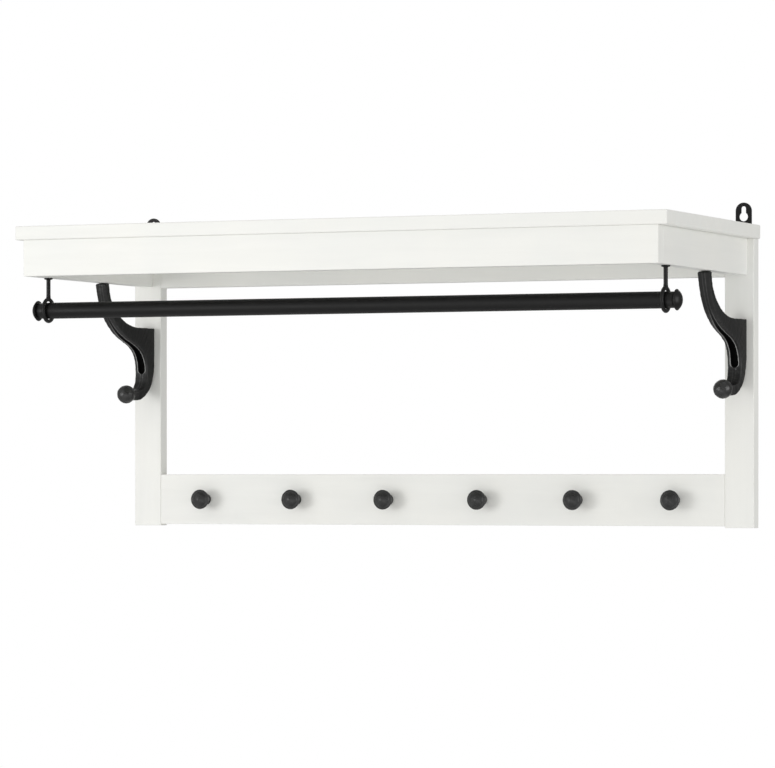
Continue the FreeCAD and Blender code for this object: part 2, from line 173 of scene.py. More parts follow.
def painted_wood(name, along):
    """Warm white satin paint on planed wood: roller stipple over faint grain that runs along the board."""
    shader = Shader(name)
    grain_scale = [70.0, 70.0, 70.0]
    grain_scale[along] = 5.0
    stroke_scale = [420.0, 420.0, 420.0]
    stroke_scale[along] = 14.0
    grain_place = shader.stretched(grain_scale)
    grain = shader.noise(1.0, detail=6.0, roughness=0.6, vector=grain_place, distortion=0.4)
    strokes = shader.noise(1.0, detail=4.0, vector=shader.stretched(stroke_scale))
    stipple = shader.noise(900.0, detail=2.0)
    clouds = shader.noise(9.0, detail=4.0)
    warm = (0.852, 0.850, 0.812)
    cool = (0.828, 0.832, 0.803)
    tone = shader.ramp(clouds, [(0.35, cool), (0.65, warm)])
    grain_tone = shader.ramp(grain, [(0.30, 0.955), (0.62, 1.0)])
    tone = shader.mix(0.55, tone, grain_tone, mode="MULTIPLY")
    # Painted shade: the paint turns greyer towards the board's edges and corners.
    painted_shading = (0.74, 0.735, 0.695)
    edges = shader.to_range(shader.edge_mask(0.9 * MM), 0.55, 0.0, from_low=0.82, from_high=0.99)
    tone = shader.mix(edges, tone, (*painted_shading, 1.0))
    relief = shader.bump(grain, 0.10 * MM, 0.5)
    relief = shader.bump(strokes, 0.05 * MM, 0.6, under=relief)
    relief = shader.bump(stipple, 0.03 * MM, 0.6, under=relief)
    return shader.finish(Base_Color=tone, Roughness=shader.to_range(strokes, 0.36, 0.50), Normal=relief)


def cast_iron_paint(name):
    """Black painted casting: uneven sand-cast skin, small pits, tone that varies over the high spots."""
    shader = Shader(name)
    lumps = shader.noise(330.0, detail=5.0, roughness=0.62)
    pits = shader.cells(620.0)
    fine = shader.noise(2300.0, detail=2.0)
    tone = shader.ramp(lumps, [(0.32, (0.0018, 0.0019, 0.0018)), (0.68, (0.0072, 0.0075, 0.0071))])
    # Painted light from a per-vertex number on the hooks: above zero, a painted highlight of grey along the
    # flute's rims and the front corners; below zero, painted shade in the flute and over the arms, which are
    # also made rougher and less glossy there.
    painted_light_and_dullness = shader.attribute("painted_light_and_dullness")
    painted_highlight = shader.to_range(painted_light_and_dullness, 0.0, 0.9, from_low=0.15, from_high=0.95)
    tone = shader.mix(painted_highlight, tone, (0.42, 0.42, 0.41, 1.0))
    painted_shade_and_dullness = shader.to_range(painted_light_and_dullness, 0.0, 0.9, from_low=0.0, from_high=-0.8)
    tone = shader.mix(painted_shade_and_dullness, tone, (0.0012, 0.0012, 0.0012, 1.0))
    relief = shader.bump(lumps, 0.45 * MM, 0.55)
    relief = shader.bump(pits, 0.16 * MM, 0.35, under=relief)
    relief = shader.bump(fine, 0.05 * MM, 0.4, under=relief)
    gloss = shader.mix(painted_shade_and_dullness, shader.to_range(lumps, 0.38, 0.25), (0.8, 0.8, 0.8, 1.0))
    sheen = shader.to_range(painted_light_and_dullness, 0.66, 0.06, from_low=0.0, from_high=-0.8)
    return shader.finish(Base_Color=tone, Roughness=gloss, Normal=relief, Specular_IOR_Level=sheen)


def powder_coat(name, dark, light, smoothest, roughest, sheen):
    """Black powder coat on drawn steel: fine orange peel and a slow drift in tone."""
    shader = Shader(name)
    peel = shader.noise(1500.0, detail=2.0)
    drift = shader.noise(26.0, detail=3.0)
    tone = shader.ramp(drift, [(0.3, dark), (0.7, light)])
    relief = shader.bump(peel, 0.03 * MM, 0.5)
    relief = shader.bump(drift, 0.2 * MM, 0.15, under=relief)
    gloss = shader.to_range(drift, smoothest, roughest)
    return shader.finish(Base_Color=tone, Roughness=gloss, Normal=relief, Specular_IOR_Level=sheen)


def stamped_plate(name):
    """Black coated strip steel with faint rolling lines up and down the plate."""
    shader = Shader(name)
    lines = shader.noise(1.0, detail=4.0, vector=shader.stretched((1800.0, 1800.0, 60.0)))
    spots = shader.noise(240.0, detail=4.0)
    tone = shader.ramp(spots, [(0.3, 0.0015), (0.7, 0.004)])
    relief = shader.bump(lines, 0.03 * MM, 0.6)
    return shader.finish(Base_Color=tone, Roughness=shader.to_range(spots, 0.38, 0.52), Normal=relief,
                         Specular_IOR_Level=0.25)


def beech(name):
    """Bare beech dowel: pale pinkish brown with short dark flecks."""
    shader = Shader(name)
    grain = shader.noise(1.0, detail=5.0, vector=shader.stretched((160.0, 900.0, 900.0)))
    flecks = shader.noise(1.0, detail=2.0, vector=shader.stretched((500.0, 2600.0, 2600.0)))
    tone = shader.ramp(grain, [(0.3, (0.42, 0.25, 0.13)), (0.7, (0.60, 0.40, 0.23))])
    fleck_tone = shader.ramp(flecks, [(0.38, (0.55, 0.42, 0.33)), (0.5, (1.0, 1.0, 1.0))])
    tone = shader.mix(0.6, tone, fleck_tone, mode="MULTIPLY")
    return shader.finish(Base_Color=tone, Roughness=shader.to_range(grain, 0.55, 0.75),
                         Normal=shader.bump(grain, 0.05 * MM, 0.5))


def zinc_plate(name):
    """Bright zinc-plated screw steel, slightly clouded."""
    shader = Shader(name)
    clouds = shader.noise(700.0, detail=4.0)
    scratches = shader.noise(1.0, detail=3.0, vector=shader.stretched((3200.0, 500.0, 900.0)))
    tone = shader.ramp(clouds, [(0.3, (0.40, 0.41, 0.42)), (0.7, (0.60, 0.60, 0.58))])
    return shader.finish(Base_Color=tone, Roughness=shader.to_range(clouds, 0.26, 0.42), Metallic=1.0,
                         Normal=shader.bump(scratches, 0.02 * MM, 0.5))


paint_by_axis = [painted_wood("white_paint_along_" + axis, i) for i, axis in enumerate("xyz")]
cast_black = cast_iron_paint("black_cast_metal")
rail_black = powder_coat("black_rail", 0.0016, 0.0034, 0.42, 0.52, 0.24)
fitting_black = powder_coat("black_fittings", 0.0016, 0.004, 0.34, 0.44, 0.30)
plate_black = stamped_plate("black_steel_plate")
dowel_beech = beech("dowel_wood")
screw_zinc = zinc_plate("screw_steel")


# ---------------------------------------------------------------- mesh helpers


def new_piece(name, mesh, material, node, body):
    """A finished mesh becomes a piece: it stands for its CAD node and moves with its body."""
    piece = bpy.data.objects.new(name, mesh)
    bpy.context.scene.collection.objects.link(piece)
    mesh.materials.append(material)
    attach(piece, body)
    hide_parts(node)
    return piece


def mesh_from(name, verts, faces, sharp_degrees=35.0):
    """A closed mesh with outward normals, smooth except at edges sharper than the given angle."""
    mesh = bpy.data.meshes.new(name)
    mesh.from_pydata(verts, [], faces)
    soup = bmesh.new()
    soup.from_mesh(mesh)
    bmesh.ops.recalc_face_normals(soup, faces=soup.faces)
    soup.to_mesh(mesh)
    soup.free()
    mesh.shade_smooth()
    mesh.set_sharp_from_angle(angle=math.radians(sharp_degrees))
    return mesh


def bridge(count, first, second):
    """Quads between two closed rings of the same number of points."""
    return [(first + i, first + (i + 1) % count, second + (i + 1) % count, second + i) for i in range(count)]


def turned(profile, segments, base, axis):
    """Verts and faces of a turned solid. The profile's points are (radius, distance along the axis). Its
    first and last points are on the axis, unless the profile is closed on itself."""
    turn = Vector((0, 0, 1)).rotation_difference(Vector(axis)).to_matrix()
    closed = profile[0] == profile[-1]
    rings = profile[:-1] if closed else profile
    verts, starts = [], []
    for radius, along in rings:
        starts.append(len(verts))
        steps = segments if radius > 0 else 1
        for i in range(steps):
            angle = TAU * i / segments
            point = Vector((radius * math.cos(angle), radius * math.sin(angle), along))
            verts.append(turn @ point + Vector(base))
    faces = []
    pairs = list(zip(range(len(rings)), range(1, len(rings))))
    if closed:
        pairs.append((len(rings) - 1, 0))
    for a, b in pairs:
        if rings[a][0] == 0:
            faces += [(starts[a], starts[b] + i, starts[b] + (i + 1) % segments) for i in range(segments)]
        elif rings[b][0] == 0:
            faces += [(starts[b], starts[a] + (i + 1) % segments, starts[a] + i) for i in range(segments)]
        else:
            faces += bridge(segments, starts[a], starts[b])
    return verts, faces


def arc_through(a, middle, b, steps):
    """Points of a circular arc from a to b by way of the middle point, without the first one."""
    (ax, ay), (mx, my), (bx, by) = a, middle, b
    d = 2 * (ax * (my - by) + mx * (by - ay) + bx * (ay - my))
    a2, m2, b2 = ax * ax + ay * ay, mx * mx + my * my, bx * bx + by * by
    cx = (a2 * (my - by) + m2 * (by - ay) + b2 * (ay - my)) / d
    cy = (a2 * (bx - mx) + m2 * (ax - bx) + b2 * (mx - ax)) / d
    radius = math.hypot(ax - cx, ay - cy)
    start = math.atan2(ay - cy, ax - cx)
    via = (math.atan2(my - cy, mx - cx) - start) % TAU
    end = (math.atan2(by - cy, bx - cx) - start) % TAU
    if via > end:
        end -= TAU
    angles = [start + end * i / steps for i in range(1, steps + 1)]
    return [(cx + radius * math.cos(angle), cy + radius * math.sin(angle)) for angle in angles]


def scaled(points):
    """Points in millimetres, turned into metres."""
    return [(x * MM, y * MM) for x, y in points]


def roughen(mesh, height, size, seed, keep):
    """Moves a casting's skin in and out, in lumps of about the given height and size, but not where keep
    says so."""
    offset = Vector((seed * 17.3, seed * 5.1, seed * 9.7))
    normals = [Vector(n.vector) for n in mesh.vertex_normals]
    for vert, normal in zip(mesh.vertices, normals):
        if keep(vert.co):
            continue
        lump = noise.fractal(vert.co / size + offset, 0.7, 2.0, 3)
        vert.co += normal * height * lump
    mesh.update()


def applied(piece):
    """Replaces a piece's mesh by the result of its modifiers."""
    bpy.context.view_layer.update()
    depsgraph = bpy.context.evaluated_depsgraph_get()
    done = bpy.data.meshes.new_from_object(piece.evaluated_get(depsgraph))
    piece.modifiers.clear()
    piece.data = done
    return piece


# ---------------------------------------------------------------- painted boards and dowels


def dress(node, material):
    """Gives a CAD node its material, smooth eased edges and flat broad faces."""
    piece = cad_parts[node]
    if not piece.material_slots:
        piece.data.materials.append(None)
    for holder in piece.material_slots:
        holder.link = "OBJECT"
        holder.material = material
    piece.data.shade_smooth()
    weld = piece.modifiers.new("weld", "WELD")
    weld.merge_threshold = 0.005 * MM
    split = piece.modifiers.new("crisp_edges", "EDGE_SPLIT")
    split.split_angle = math.radians(50)
    weighted = piece.modifiers.new("flat_faces", "WEIGHTED_NORMAL")
    weighted.weight = 100
    weighted.keep_sharp = False


BOARD_AXES = {
    "top_board": 0, "front_apron": 0, "back_top_rail": 0, "peg_rail": 0,
    "side_apron_left": 1, "side_apron_right": 1,
    "stile_left": 2, "stile_right": 2,
}
for node, axis in BOARD_AXES.items():
    dress(node, paint_by_axis[axis])
for joined in ("back_rail", "peg_rail", "apron_corner", "apron_stile", "shelf"):
    dress(joined + "_dowels", dowel_beech)


# ---------------------------------------------------------------- hanging rail and finials

rail_low, rail_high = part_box("rail_tube")
rail_centre = (rail_low + rail_high) / 2
rail_radius = (rail_high.z - rail_low.z) / 2
rail_length = rail_high.x - rail_low.x
rail_wall = 1.5 * MM


def rail_tube():
    """The drawn steel tube, open along its middle, with its two cut ends lightly broken."""
    bore = rail_radius - rail_wall
    ease = 0.3 * MM
    rings = 80
    segments = 96
    outside = [(rail_radius, ease + (rail_length - 2 * ease) * i / rings) for i in range(rings + 1)]
    profile = [(bore, 0.0), (rail_radius - ease, 0.0)] + outside
    profile += [(rail_radius - ease, rail_length), (bore, rail_length), (bore, 0.0)]
    base = (rail_low.x, rail_centre.y, rail_centre.z)
    mesh = mesh_from("rail_bar", *turned(profile, segments, base, (1, 0, 0)))
    return new_piece("rail_bar", mesh, rail_black, "rail_tube", RAIL)


def finial(side_name):
    """Turned end piece: spigot, long collar, groove, flared rim and a shallow dome with a centre point."""
    side = -1 if side_name == "left" else 1
    spigot = rail_radius / MM - rail_wall / MM
    spigot_end, spigot_taper = -18.0, 1.0
    collar, groove, rim = 9.7, 8.8, 12.6
    collar_end, groove_end = 7.6, 8.5
    rim_back, rim_front, dome_foot = 9.8, 11.1, 11.6
    ease, rim_ease, dome_inset = 0.35, 0.4, 1.0
    tip, length = 1.0, 17.0
    flare_middle = (rim - 2.2, groove_end + 0.45)
    flare_end = (rim - rim_ease, rim_back)
    rim_middle = (rim, (rim_back + rim_front) / 2)
    rim_end = (rim - rim_ease, rim_front)
    dome_start = (rim - dome_inset, dome_foot)
    dome_middle = (6.9, length - 1.7)
    dome_end = (tip + 0.6, length - 0.35)
    outline = [(0.0, spigot_end), (spigot - spigot_taper, spigot_end), (spigot, spigot_end + spigot_taper),
               (spigot, 0.0), (collar - ease, 0.0), (collar, ease), (collar, collar_end - ease),
               (collar - 0.2, collar_end), (groove, collar_end + 0.25), (groove, groove_end)]
    outline += arc_through((groove, groove_end), flare_middle, flare_end, 5)
    outline += arc_through(flare_end, rim_middle, rim_end, 6)
    outline += [(rim - 0.75, rim_front + 0.12), dome_start]
    outline += arc_through(dome_start, dome_middle, dome_end, 12)
    outline += [(tip, length - 0.3), (tip - 0.15, length), (0.0, length)]
    end_x = rail_low.x if side < 0 else rail_high.x
    segments = 72
    verts, faces = turned(scaled(outline), segments, (end_x, rail_centre.y, rail_centre.z), (side, 0, 0))
    name = "finial_cap_" + side_name
    mesh = mesh_from(name, verts, faces, 32.0)
    return new_piece(name, mesh, fitting_black, "finial_" + side_name, RAIL)


rail_tube()
for side_name in SIDES:
    finial(side_name)


# ---------------------------------------------------------------- ring hangers


def torus(centre, radius, wire, around, across):
    """A ring about the X axis."""
    verts = []
    for i in range(around):
        a = TAU * i / around
        for j in range(across):
            b = TAU * j / across
            reach = radius + wire * math.cos(b)
            offset = Vector((wire * math.sin(b), reach * math.cos(a), reach * math.sin(a)))
            verts.append(Vector(centre) + offset)
    faces = []
    for i in range(around):
        faces += bridge(across, i * across, (i + 1) % around * across)
    return verts, faces


def ring_hanger(side_name):
    """One forging: the ring round the rail, a flared root, the rod, a collar flange and the hidden shank."""
    low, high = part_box("ring_hanger_" + side_name)
    wire = 2.4
    ring_radius = (high.y - low.y) / 2 / MM - wire
    centre = Vector(((low.x + high.x) / 2, rail_centre.y, low.z + (high.y - low.y) / 2))
    flange_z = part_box("side_apron_" + side_name)[0].z
    rod, flange_radius, flange_depth = 2.6, 5.3, 2.0
    foot = (flange_z - centre.z) / MM
    top = (high.z - centre.z) / MM
    root, root_radius, root_widest, root_neck = ring_radius - wire + 0.4, 2.2, 3.2, 2.8
    flange_base = foot - flange_depth
    taper = 0.6
    profile = [(0.0, root), (root_radius, root), (root_widest, ring_radius + 1.0),
               (root_neck, ring_radius + 2.4), (rod + 0.15, ring_radius + 3.6), (rod, ring_radius + 5.5),
               (rod, flange_base - 0.9), (rod + 0.5, flange_base - 0.2), (flange_radius - 0.7, flange_base),
               (flange_radius, flange_base + 0.5), (flange_radius, foot), (rod, foot), (rod, top - taper),
               (rod - taper, top), (0.0, top)]
    rod_verts, rod_faces = turned(scaled(profile), 40, centre, (0, 0, 1))
    ring_verts, ring_faces = torus(centre, ring_radius * MM, wire * MM, 96, 24)
    start = len(rod_verts)
    faces = rod_faces + [tuple(start + i for i in face) for face in ring_faces]
    mesh = mesh_from("ring_eye_" + side_name, rod_verts + ring_verts, faces)
    piece = new_piece("ring_eye_" + side_name, mesh, fitting_black, "ring_hanger_" + side_name, RACK)
    remesh = piece.modifiers.new("fuse", "REMESH")
    remesh.mode = "VOXEL"
    remesh.voxel_size = 0.32 * MM
    remesh.use_smooth_shade = True
    smooth = piece.modifiers.new("soften", "SMOOTH")
    smooth.factor = 0.5
    smooth.iterations = 5
    return applied(piece)


for side_name in SIDES:
    ring_hanger(side_name)


# ---------------------------------------------------------------- peg knobs


def peg_knob(number):
    """Turned knob: foot, waist, flared head, rounded rim and a domed face with a raised centre."""
    low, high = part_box("peg_knob_" + str(number))
    head = (high.z - low.z) / 2 / MM
    length = (high.y - low.y) / MM
    foot, foot_ease, foot_height = 7.2, 0.3, 1.5
    waist, widest, step, nub = 5.4, 18.2, 0.35, 1.5
    rim_back, rim_front, dome = widest - 2.0, widest + 1.6, head - 2.6
    waist_middle, waist_end = (waist, 5.2), (waist + 0.9, 9.5)
    flare_middle, flare_end = (7.7, 13.85), (head - 1.0, rim_back)
    rim_middle, rim_end = (head, widest), (head - 1.2, rim_front)
    dome_start, dome_middle = (dome - 0.1, rim_front + 2 * step), (5.7, length - 1.9)
    nub_foot = (nub + 0.3, length - 1.5 * step)
    outline = [(0.0, 0.0), (foot - foot_ease, 0.0), (foot, foot_ease), (foot, foot_height)]
    outline += arc_through((foot, foot_height), waist_middle, waist_end, 9)
    outline += arc_through(waist_end, flare_middle, flare_end, 8)
    outline += arc_through(flare_end, rim_middle, rim_end, 10)
    outline += [(dome + 0.25, rim_front + 0.75 * step), (dome, rim_front + step), dome_start]
    outline += arc_through(dome_start, dome_middle, nub_foot, 12)
    outline += [(nub, length - step), (nub - 0.3, length - 0.05), (nub * 0.4, length), (0.0, length)]
    base = ((low.x + high.x) / 2, high.y, (low.z + high.z) / 2)
    verts, faces = turned(scaled(outline), 64, base, (0, -1, 0))
    name = "knob_" + str(number)
    mesh = mesh_from(name, verts, faces, 40.0)
    roughen(mesh, 0.16 * MM, 2.6 * MM, number, keep=lambda p: p.y > high.y - 0.3 * MM)
    return new_piece(name, mesh, cast_black, "peg_knob_" + str(number), RACK)


peg_count = sum(node.startswith("peg_knob_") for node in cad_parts)
for number in range(1, peg_count + 1):
    peg_knob(number)


# ---------------------------------------------------------------- double hooks

# Outline points are (distance out from the stile, height above the casting's square shoulder), in
# millimetres.
FRONT = [
    (134.0, 52.5), (128.8, 36.0), (117.3, 15.2), (101.4, 0.8), (81.2, -11.0), (62.0, -18.0), (45.0, -23.3),
    (31.2, -30.4), (22.7, -39.5), (18.8, -50.7), (18.5, -61.8), (21.6, -72.0), (29.0, -78.6), (39.6, -80.9),
    (51.6, -79.5),
]
PRONG_BACK = [
    (123.6, 54.0), (120.3, 39.5), (111.3, 26.5), (93.8, 13.4), (73.6, 5.1), (53.4, 0.9), (36.4, 0.0),
]
HEEL = [
    (0.0, -44.6), (2.1, -62.2), (8.7, -76.0), (21.4, -86.7), (38.0, -93.0), (47.0, -93.8), (52.0, -92.9),
]
SHOULDER_EASE = 0.9
BALL_CENTRE = (61.8, -86.2)
BALL_RADIUS = 11.7
NECK_OUT = 52.3
BACK_WIDTH, ARM_WIDTH, NECK_WIDTH = 19.0, 15.0, 13.5
TAPER_DEPTH = 62.0

# Places along the hook are fractional indices of FRONT.
TIP_PLACE = 0.12
PRONG_END = 6.0
SHOULDER_START, SHOULDER_END, HEEL_START = 7.6, 7.7, 9.2
LAST_PLACE = float(len(FRONT) - 1)
NARROWING = (12.2, 13.9)
ROUNDING = (12.4, 13.95)
# The arms' painted shade and dullness fade out over this stretch, before the ball.
ARM_SHADE_END = (12.4, 13.8)
MEETING_STILE, LEAVING_STILE = (6.2, 7.4), (9.3, 10.2)
# The front corners' painted highlight comes in over this stretch.
CORNER_HIGHLIGHT_RISE = (0.5, 2.0)

FRONT_EASE = 1.5
BACK_EASE, STILE_EASE_LOSS = 1.9, 1.4
TIP_EASE = 2.0
# Strength of the painted shade on the arms, which are also made rougher and less glossy there.
ARM_SHADE_AND_DULLNESS = 0.36
# Strength of the painted highlight along the front corners.
CORNER_HIGHLIGHT = 0.22
FLUTE_DEPTH = 5.2
FLUTE_TOP, FLUTE_ROUND, FLUTE_END = 9.0, -54.0, -59.2
FLUTE_WIDTHS = [(9.0, 0.6), (-8.0, 2.1), (-20.0, 3.5), (-33.0, 4.6), (-54.0, 5.1)]


def along_curve(points, place, first=None, last=None):
    """The point at a fractional index of a smooth curve through the points."""
    count = len(points)
    index = min(int(place), count - 2)
    share = place - index
    p1, p2 = Vector(points[index]), Vector(points[index + 1])
    before = Vector(points[index - 1]) if index > 0 else None
    after = Vector(points[index + 2]) if index + 2 < count else None
    span = (p2 - p1).length

    def tangent(a, b, c):
        near, far = (b - a).length, (c - b).length
        return ((b - a) / near * far + (c - b) / far * near) / (near + far)

    leave = tangent(before, p1, p2) if before else Vector(first or (p2 - p1) / span)
    arrive = tangent(p1, p2, after) if after else Vector(last or (p2 - p1) / span)
    s2, s3 = share * share, share ** 3
    return (p1 * (2 * s3 - 3 * s2 + 1) + leave * span * (s3 - 2 * s2 + share)
            + p2 * (3 * s2 - 2 * s3) + arrive * span * (s3 - s2))


def smooth_step(value, low, high):
    share = min(1.0, max(0.0, (value - low) / (high - low)))
    return share * share * (3 - 2 * share)


def back_point(place):
    """The casting's back outline opposite a fractional index of the front outline."""
    ease = SHOULDER_EASE
    if place <= PRONG_END:
        return along_curve(PRONG_BACK, place, last=(-1.0, 0.0))
    if place <= SHOULDER_START:
        share = (place - PRONG_END) / (SHOULDER_START - PRONG_END)
        return Vector((PRONG_BACK[-1][0] + (ease - PRONG_BACK[-1][0]) * share, 0.0))
    if place <= SHOULDER_END:
        angle = math.pi / 2 * (place - SHOULDER_START) / (SHOULDER_END - SHOULDER_START)
        return Vector((ease - ease * math.sin(angle), -ease + ease * math.cos(angle)))
    if place <= HEEL_START:
        share = (place - SHOULDER_END) / (HEEL_START - SHOULDER_END)
        return Vector((0.0, -ease + (HEEL[0][1] + ease) * share))
    share = (place - HEEL_START) / (LAST_PLACE - HEEL_START)
    return along_curve(HEEL, share * (len(HEEL) - 1), first=(0.0, -1.0))


def outline_point(s, width, depth, front_ease, back_ease):
    """(sideways, depth) at distance s along half a rounded rectangle, from the middle of its front."""
    flat = width / 2 - front_ease
    if s <= flat:
        return s, 0.0
    s -= flat
    if s <= math.pi / 2 * front_ease:
        angle = s / front_ease
        return flat + front_ease * math.sin(angle), front_ease * (1 - math.cos(angle))
    s -= math.pi / 2 * front_ease
    side = depth - front_ease - back_ease
    if s <= side:
        return width / 2, front_ease + s
    s -= side
    if s <= math.pi / 2 * back_ease:
        angle = s / back_ease
        return width / 2 - back_ease * (1 - math.cos(angle)), depth - back_ease * (1 - math.sin(angle))
    s -= math.pi / 2 * back_ease
    return max(0.0, width / 2 - back_ease - s), depth


def flute_half_width(up):
    if up > FLUTE_TOP or up < FLUTE_END:
        return 0.0
    if up < FLUTE_ROUND:
        radius = FLUTE_WIDTHS[-1][1]
        return radius * math.sqrt(max(0.0, 1 - ((FLUTE_ROUND - up) / (FLUTE_ROUND - FLUTE_END)) ** 2))
    for (up_a, half_a), (up_b, half_b) in zip(FLUTE_WIDTHS, FLUTE_WIDTHS[1:]):
        if up >= up_b:
            return half_b + (half_a - half_b) * (up - up_b) / (up_a - up_b)
    return FLUTE_WIDTHS[-1][1]


FLUTE_COLUMNS = (0.0, 0.3, 0.58, 0.8, 0.94, 1.0)
RIM_COLUMNS = ((0.30, 0.42), (0.75, 0.46), (1.25, 0.0))
CORNER_STEPS, SIDE_STEPS, BACK_STEPS = 5, 5, 3


def half_section(width, depth, front_ease, back_ease, flute_half, flute_deep):
    """Half of one cross-section, from the middle of the front to the middle of the back."""
    column_half = max(1.3, flute_half)
    points = []
    for share in FLUTE_COLUMNS:
        x, y = outline_point(column_half * share, width, depth, front_ease, back_ease)
        points.append((x, y + flute_deep * math.sqrt(1 - share * share)))
    raised = min(1.0, flute_deep / FLUTE_DEPTH * 1.5)
    for beyond, lift in RIM_COLUMNS:
        x, y = outline_point(column_half + beyond, width, depth, front_ease, back_ease)
        points.append((x, y - lift * raised))
    last = column_half + RIM_COLUMNS[-1][0]
    front_arc = width / 2 - front_ease
    side_start = front_arc + math.pi / 2 * front_ease
    side_end = side_start + depth - front_ease - back_ease
    back_start = side_end + math.pi / 2 * back_ease
    end = back_start + width / 2 - back_ease
    front_arc = max(front_arc, last + 0.3)
    places = [front_arc + (side_start - front_arc) * i / CORNER_STEPS for i in range(CORNER_STEPS + 1)]
    places += [side_start + (side_end - side_start) * i / SIDE_STEPS for i in range(1, SIDE_STEPS)]
    places += [side_end + (back_start - side_end) * i / CORNER_STEPS for i in range(CORNER_STEPS + 1)]
    places += [back_start + (end - back_start) * i / BACK_STEPS for i in range(1, BACK_STEPS + 1)]
    return points + [outline_point(s, width, depth, front_ease, back_ease) for s in places]


def casting_width(out, place):
    """Across the hook: widest on the stile, narrower in the arms, round at the ball's neck."""
    tapered = BACK_WIDTH - (BACK_WIDTH - ARM_WIDTH) * min(1.0, out / TAPER_DEPTH)
    return tapered + (NECK_WIDTH - tapered) * smooth_step(place, *NARROWING)


def half_painted_light(raised, corner_highlight, dull_shade):
    """Painted light at each point of half a cross-section: painted shade in the flute, painted highlights
    along its rim and the corners, and painted shade elsewhere, on a rougher, less glossy skin."""
    painted_shade_and_dullness = [-max(raised, dull_shade)] * (len(FLUTE_COLUMNS) - 1) + [0.1 * raised]
    rim = [raised, 0.8 * raised, -dull_shade * (1 - raised)]
    corner = [corner_highlight * math.sin(math.pi * i / CORNER_STEPS) - dull_shade for i in range(CORNER_STEPS + 1)]
    rest = SIDE_STEPS - 1 + CORNER_STEPS + 1 + BACK_STEPS
    return painted_shade_and_dullness + rim + corner + [-1.25 * dull_shade] * rest


def casting_rings():
    """Cross-sections from the prong's tip to the ball. Each is a list of (sideways, out, up, painted light
    and dullness).
    """
    rings = []

    def add(front, back, half, width, width_at=None, raised=0.0, corner_highlight=0.0, arm_shade_and_dullness=0.0):
        across = back - front
        direction = across.normalized()
        ring = []
        for (x, y), painted_light_and_dullness in zip(half, half_painted_light(raised, corner_highlight, arm_shade_and_dullness)):
            spot = front + direction * y
            factor = width_at(spot.x) / width if width_at else 1.0
            ring.append((x * factor, spot.x, spot.y, painted_light_and_dullness))
        left = [(-x, out, up, painted_light_and_dullness) for x, out, up, painted_light_and_dullness in ring[1:-1]]
        rings.append(ring + left[::-1])

    front, back = along_curve(FRONT, TIP_PLACE), back_point(TIP_PLACE)
    upward = (along_curve(FRONT, 0.0) - front).normalized()
    depth = (back - front).length
    direction = (back - front) / depth
    width = casting_width(front.x, TIP_PLACE)
    tip_steps = 6
    for step in range(tip_steps, 0, -1):
        angle = math.pi / 2 * step / tip_steps
        inset = TIP_EASE * (1 - math.cos(angle))
        rise = upward * TIP_EASE * math.sin(angle)
        ease = max(0.3, BACK_EASE - inset)
        half = half_section(width - 2 * inset, depth - 2 * inset, ease, ease, 0.0, 0.0)
        add(front + direction * inset + rise, back - direction * inset + rise, half, width,
            arm_shade_and_dullness=ARM_SHADE_AND_DULLNESS)

    stretches = [(TIP_PLACE, PRONG_END, 80), (PRONG_END, SHOULDER_START, 34),
                 (SHOULDER_START, SHOULDER_END, 5), (SHOULDER_END, HEEL_START, 42),
                 (HEEL_START, LAST_PLACE, 66)]
    places = [a + (b - a) * i / steps for a, b, steps in stretches for i in range(steps)] + [LAST_PLACE]
    for place in places:
        front, back = along_curve(FRONT, place), back_point(place)
        depth = (back - front).length
        width = casting_width((front.x + back.x) / 2, place)
        round_share = smooth_step(place, *ROUNDING)
        front_ease = FRONT_EASE + (width / 2 - FRONT_EASE) * round_share
        on_stile = smooth_step(place, *MEETING_STILE) * (1 - smooth_step(place, *LEAVING_STILE))
        back_ease = BACK_EASE - STILE_EASE_LOSS * on_stile
        back_ease = back_ease + (width / 2 - back_ease) * round_share
        most = depth / 2 - 0.01
        half_width = flute_half_width(front.y)
        deep = min(FLUTE_DEPTH, 1.05 * half_width)
        if front.y < FLUTE_ROUND:
            deep = FLUTE_DEPTH * half_width / FLUTE_WIDTHS[-1][1]
        half = half_section(width, depth, min(front_ease, most), min(back_ease, most), half_width, deep)
        raised = min(1.0, deep / FLUTE_DEPTH * 1.3)
        # Painted highlight along the front corners, and painted shade with dullness on the arms, both gone
        # at the ball.
        corner_highlight = CORNER_HIGHLIGHT * smooth_step(place, *CORNER_HIGHLIGHT_RISE) * (1 - round_share)
        arm_shade_and_dullness = ARM_SHADE_AND_DULLNESS * (1 - smooth_step(place, *ARM_SHADE_END))
        add(front, back, half, width, lambda out, at=place: casting_width(out, at), raised, corner_highlight,
            arm_shade_and_dullness)

    neck = math.acos((NECK_OUT - BALL_CENTRE[0]) / BALL_RADIUS)
    ball_steps = 22
    neck_radius = BALL_RADIUS * math.sin(neck)
    neck_ease = neck_radius - 0.01
    round_half = half_section(2 * neck_radius, 2 * neck_radius, neck_ease, neck_ease, 0.0, 0.0)
    for step in range(ball_steps):
        angle = neck * (1 - step / ball_steps)
        radius = BALL_RADIUS * math.sin(angle)
        out = BALL_CENTRE[0] + BALL_RADIUS * math.cos(angle)
        half = [(x * radius / neck_radius, y * radius / neck_radius) for x, y in round_half]
        add(Vector((out, BALL_CENTRE[1] + radius)), Vector((out, BALL_CENTRE[1] - radius)), half, 2 * radius)
    return rings


